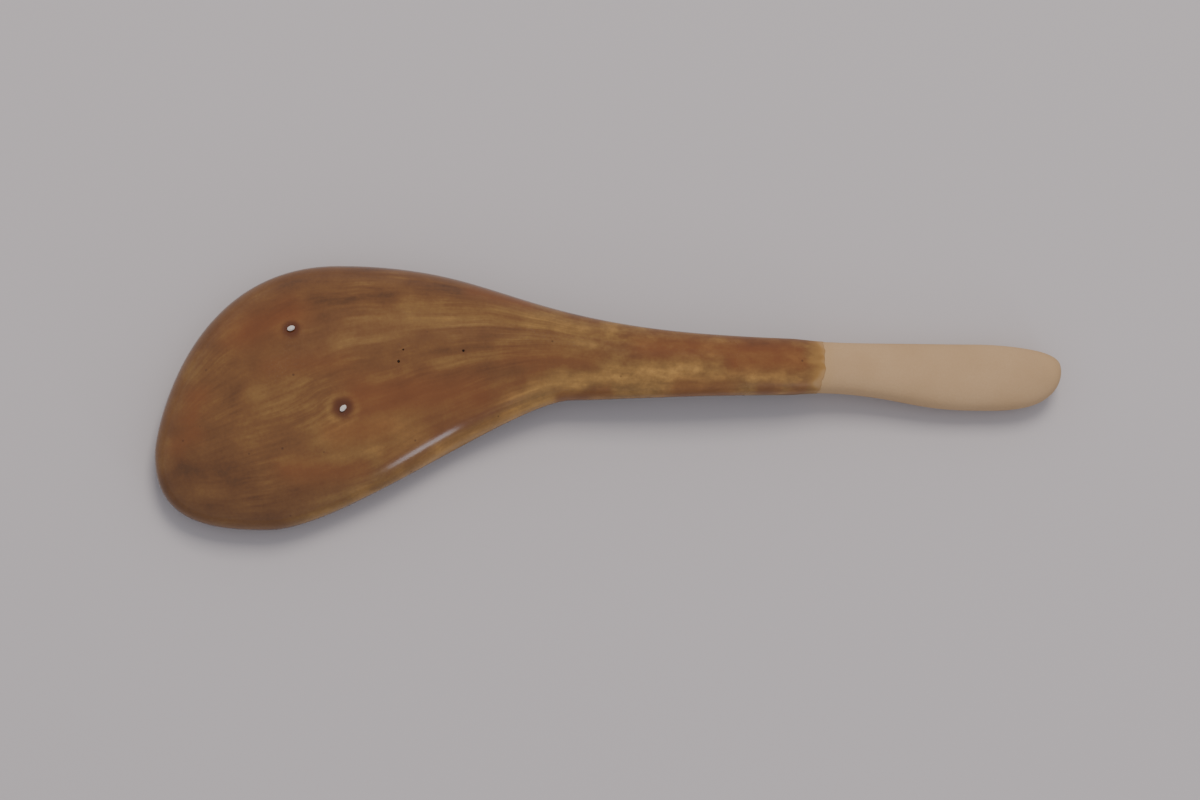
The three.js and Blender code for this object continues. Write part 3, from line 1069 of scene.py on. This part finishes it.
    def build(self, finish: GlazeFinish) -> None:
        """Models and dresses the coat.

        Args:
            finish: The glaze's finish.
        """
        z = self.sizes
        mesh = bmesh.new()
        bmesh.ops.create_grid(mesh, x_segments=z.rings, y_segments=z.sides, size=HALF)
        reach, rounds = z.scar_faces
        for scar in self.scars:
            self._refine(mesh, tuple(scar.centre()[:2]), reach * scar.radius, rounds)
        for plan, _ in z.pinholes:
            self._refine(mesh, plan, *z.pinhole_faces)
        grid = np.array([vert.co[:2] for vert in mesh.verts])
        along, turn = self._place(grid)
        stand_off, spots = self._stand_off(along, turn)
        tones = self._tones(self.skin.clay(along, turn), turn)
        places = self.skin.raised(along, turn, stand_off)
        across, height = section(turn)
        flow = np.column_stack([self.skin.station(along), z.flow_width * across, -height])
        flow_layer = mesh.verts.layers.float_vector.new(FLOW_LAYER)
        tones_layer = mesh.verts.layers.float_color.new(TONES_LAYER)
        spots_layer = mesh.verts.layers.float_color.new(SPOTS_LAYER)
        for index, vert in enumerate(mesh.verts):
            vert.co = places[index]
            vert[flow_layer] = flow[index]
            vert[tones_layer] = tones[index]
            vert[spots_layer] = spots[index]
        self._line(mesh)
        bmesh.ops.remove_doubles(mesh, verts=mesh.verts, dist=WELD_DISTANCE)
        open_edges = [edge for edge in mesh.edges if edge.is_boundary]
        bmesh.ops.bridge_loops(mesh, edges=open_edges)
        bmesh.ops.recalc_face_normals(mesh, faces=mesh.faces)
        finish_piece("glaze", mesh, "glaze_coat", finish)

    def _line(self, mesh: BMesh) -> None:
        """Adds the inside of the coat, which lies on the clay.

        Args:
            mesh: The coat, with its outside in place.
        """
        z = self.sizes
        made = bmesh.ops.create_grid(mesh, x_segments=z.lining_rings, y_segments=z.lining_sides, size=HALF)
        grid = np.array([vert.co[:2] for vert in made["verts"]])
        along, turn = self._place(grid)
        places = self.skin.raised(along * z.lining_share, turn, np.full(len(grid), z.lining))
        for vert, place in zip(made["verts"], places):
            vert.co = place


@dataclass(frozen=True)
class ClayBody:
    """The clay: hidden under the glaze, and bare at the grip. Its sizes are in metres."""

    skin: SpoonSkin
    rings: int = 300
    sides: int = 128
    facet: float = 0.00010
    facet_stretch: Triple = (0.35, 1.0, 1.0)
    facet_wave: Place = (160.0, 4.0)
    facet_steepness: float = 2.0
    facet_start: Place = (0.0005, 0.004)
    end_stain: float = 0.006
    end_stain_share: float = 0.5
    dip_stain: float = 0.003
    dip_stain_share: float = 0.45
    # Height, scale and shift of the waves in the stain along the dip line.
    dip_stain_wave: Triple = (0.0015, 300.0, 9.0)

    def build(self, finish: ClayFinish) -> None:
        """Models and dresses the clay.

        Args:
            finish: The clay's finish.
        """
        mesh = bmesh.new()
        bmesh.ops.create_grid(mesh, x_segments=self.rings, y_segments=self.sides, size=HALF)
        grid = np.array([vert.co[:2] for vert in mesh.verts]) + HALF
        along, turn = even_ends(grid[:, 0]), grid[:, 1]
        past_dip = (along - self.skin.dip_at(turn)) * self.skin.sizes.end
        even = self.skin.clay(along, turn)
        facets = wave(even * self.facet_stretch, *self.facet_wave)
        worked = HALF + HALF * np.tanh(self.facet_steepness * facets)
        sunk = -self.facet * worked * smoothstep(past_dip, *self.facet_start)
        places = self.skin.raised(along, turn, sunk)
        places[:, 2] = np.maximum(places[:, 2], 0)
        to_end = self.skin.sizes.end - self.skin.station(along)
        stain = self.end_stain_share * (1 - smoothstep(to_end, 0, self.end_stain))
        height, scale, shift = self.dip_stain_wave
        ragged = past_dip + height * wave(even, scale, shift)
        stain += self.dip_stain_share * (1 - smoothstep(ragged, 0.0, self.dip_stain))
        tones_layer = mesh.verts.layers.float_color.new(TONES_LAYER)
        for index, vert in enumerate(mesh.verts):
            vert.co = places[index]
            vert[tones_layer] = (0.0, min(stain[index], 1.0), 0.0, 1.0)
        bmesh.ops.remove_doubles(mesh, verts=mesh.verts, dist=WELD_DISTANCE)
        bmesh.ops.recalc_face_normals(mesh, faces=mesh.faces)
        finish_piece("clay", mesh, "clay_body", finish)


@dataclass(frozen=True)
class PinStub:
    """The broken white end of a kiln pin in its crater."""

    scar: Scar
    subdivisions: int = 4
    lumps: tuple[Place, ...] = ((0.08, 1.7), (0.02, 5.0))
    seat_share: float = 0.5

    def build(self, finish: StubFinish) -> None:
        """Models and dresses the stub.

        Args:
            finish: The stub's finish.
        """
        scar = self.scar
        mesh = bmesh.new()
        bmesh.ops.create_icosphere(mesh, subdivisions=self.subdivisions, radius=1.0)
        for vert in mesh.verts:
            lumps = (height * noise.noise(vert.co * scale) for height, scale in self.lumps)
            vert.co *= sum(lumps, start=1.0)
        top = scar.centre()
        seat = Vector((top[0], top[1], top[2] - self.seat_share * scar.stub[2]))
        shaped = Matrix.Diagonal((*scar.stub, 1.0))
        turned = Matrix.Rotation(scar.turned, 4, "Z")
        bmesh.ops.transform(mesh, matrix=Matrix.Translation(seat) @ turned @ shaped, verts=mesh.verts)
        bmesh.ops.recalc_face_normals(mesh, faces=mesh.faces)
        finish_piece(scar.node.replace("mark", "stub"), mesh, scar.node, finish)


@dataclass(frozen=True)
class Lamp:
    """A soft lamp over the table."""

    name: str
    towards: Triple
    distance: float
    size: Place
    power: float
    colour: Triple
    mirrored: bool


@dataclass(frozen=True)
class Studio:
    """The table, the lamps and the camera."""

    table: float = 6.0
    table_roughness: float = 0.9
    pale: Colour = (0.49, 0.455, 0.455, 1)
    sky: Colour = (0.90, 0.92, 1.0, 1)
    sky_strength: float = 0.72
    focal: float = 85.0
    sensor: float = 36.0
    nearest: float = 0.01
    target: Triple = (-0.00392, -0.00094, 0.006)
    forward: Triple = (0.14785, 0.19148, -0.97030)
    distance: float = 0.53267
    lamps: tuple[Lamp, ...] = (
        Lamp("key", (0.08, 0.50, 0.86), 1.1, (0.45, 0.45), 7.3, (1.0, 0.93, 0.86), False),
        Lamp("window", (0.588, -0.809, 0.36), 0.45, (0.060, 0.070), 0.118, (0.80, 0.86, 1.0), True),
    )

    def lay_table(self) -> None:
        """Lays a plain pale table under the spoon."""
        mesh = bmesh.new()
        bmesh.ops.create_grid(mesh, x_segments=1, y_segments=1, size=self.table / 2)
        data = bpy.data.meshes.new("table")
        mesh.to_mesh(data)
        mesh.free()
        finish = bpy.data.materials.new("table")
        finish.use_nodes = True
        shader = finish.node_tree.nodes["Principled BSDF"]
        shader.inputs["Base Color"].default_value = self.pale
        shader.inputs["Roughness"].default_value = self.table_roughness
        data.materials.append(finish)
        table = bpy.data.objects.new("table", data)
        bpy.context.scene.collection.objects.link(table)

    def light(self) -> None:
        """Hangs the lamps and sets the sky."""
        world = bpy.data.worlds.new("sky")
        world.use_nodes = True
        sky = world.node_tree.nodes["Background"]
        sky.inputs["Color"].default_value = self.sky
        sky.inputs["Strength"].default_value = self.sky_strength
        bpy.context.scene.world = world
        for lamp in self.lamps:
            data = bpy.data.lights.new(lamp.name, "AREA")
            data.shape = "RECTANGLE"
            data.size, data.size_y = lamp.size
            data.energy = lamp.power
            data.color = lamp.colour
            hung = bpy.data.objects.new(lamp.name, data)
            way = Vector(lamp.towards).normalized()
            hung.location = way * lamp.distance
            hung.visible_glossy = lamp.mirrored
            hung.rotation_euler = way.to_track_quat("Z", "Y").to_euler()
            bpy.context.scene.collection.objects.link(hung)

    def aim_camera(self) -> None:
        """Sets the camera above the spoon, leaning a little."""
        data = bpy.data.cameras.new("camera")
        data.lens = self.focal
        data.sensor_width = self.sensor
        data.clip_start = self.nearest
        camera = bpy.data.objects.new("camera", data)
        forward = Vector(self.forward).normalized()
        up = Vector((1, 0, 0)).cross(forward).normalized()
        right = forward.cross(up)
        camera.location = Vector(self.target) - forward * self.distance
        camera.rotation_euler = Matrix((right, up, -forward)).transposed().to_euler()
        bpy.context.scene.collection.objects.link(camera)
        bpy.context.scene.camera = camera


def main() -> None:
    """Builds the spoon and the studio."""
    logging.basicConfig(level=logging.INFO)
    skin = SpoonSkin(SkinSizes())
    scars = (
        Scar("pin_mark_shoulder", 0.0019, (0.00073, 0.00047, 0.00031), 0.38, 0.12),
        Scar("pin_mark_lobe", 0.0021, (0.00074, 0.00047, 0.00031), 0.80, 0.45),
    )
    mottle = mottle_group()
    ClayBody(skin).build(ClayFinish(mottle))
    strokes = [Stroke.from_row(tone, row) for tone, rows in STROKE_ROWS.items() for row in rows]
    coat = GlazeCoat(skin, GlazeSizes(), PaintSizes(), scars, strokes)
    coat.build(GlazeFinish(mottle, GlazeColours(), GlazeShares()))
    stub_finish = StubFinish(mottle)
    for scar in scars:
        PinStub(scar).build(stub_finish)
    studio = Studio()
    studio.lay_table()
    studio.light()
    studio.aim_camera()


if __name__ == "__main__":
    main()
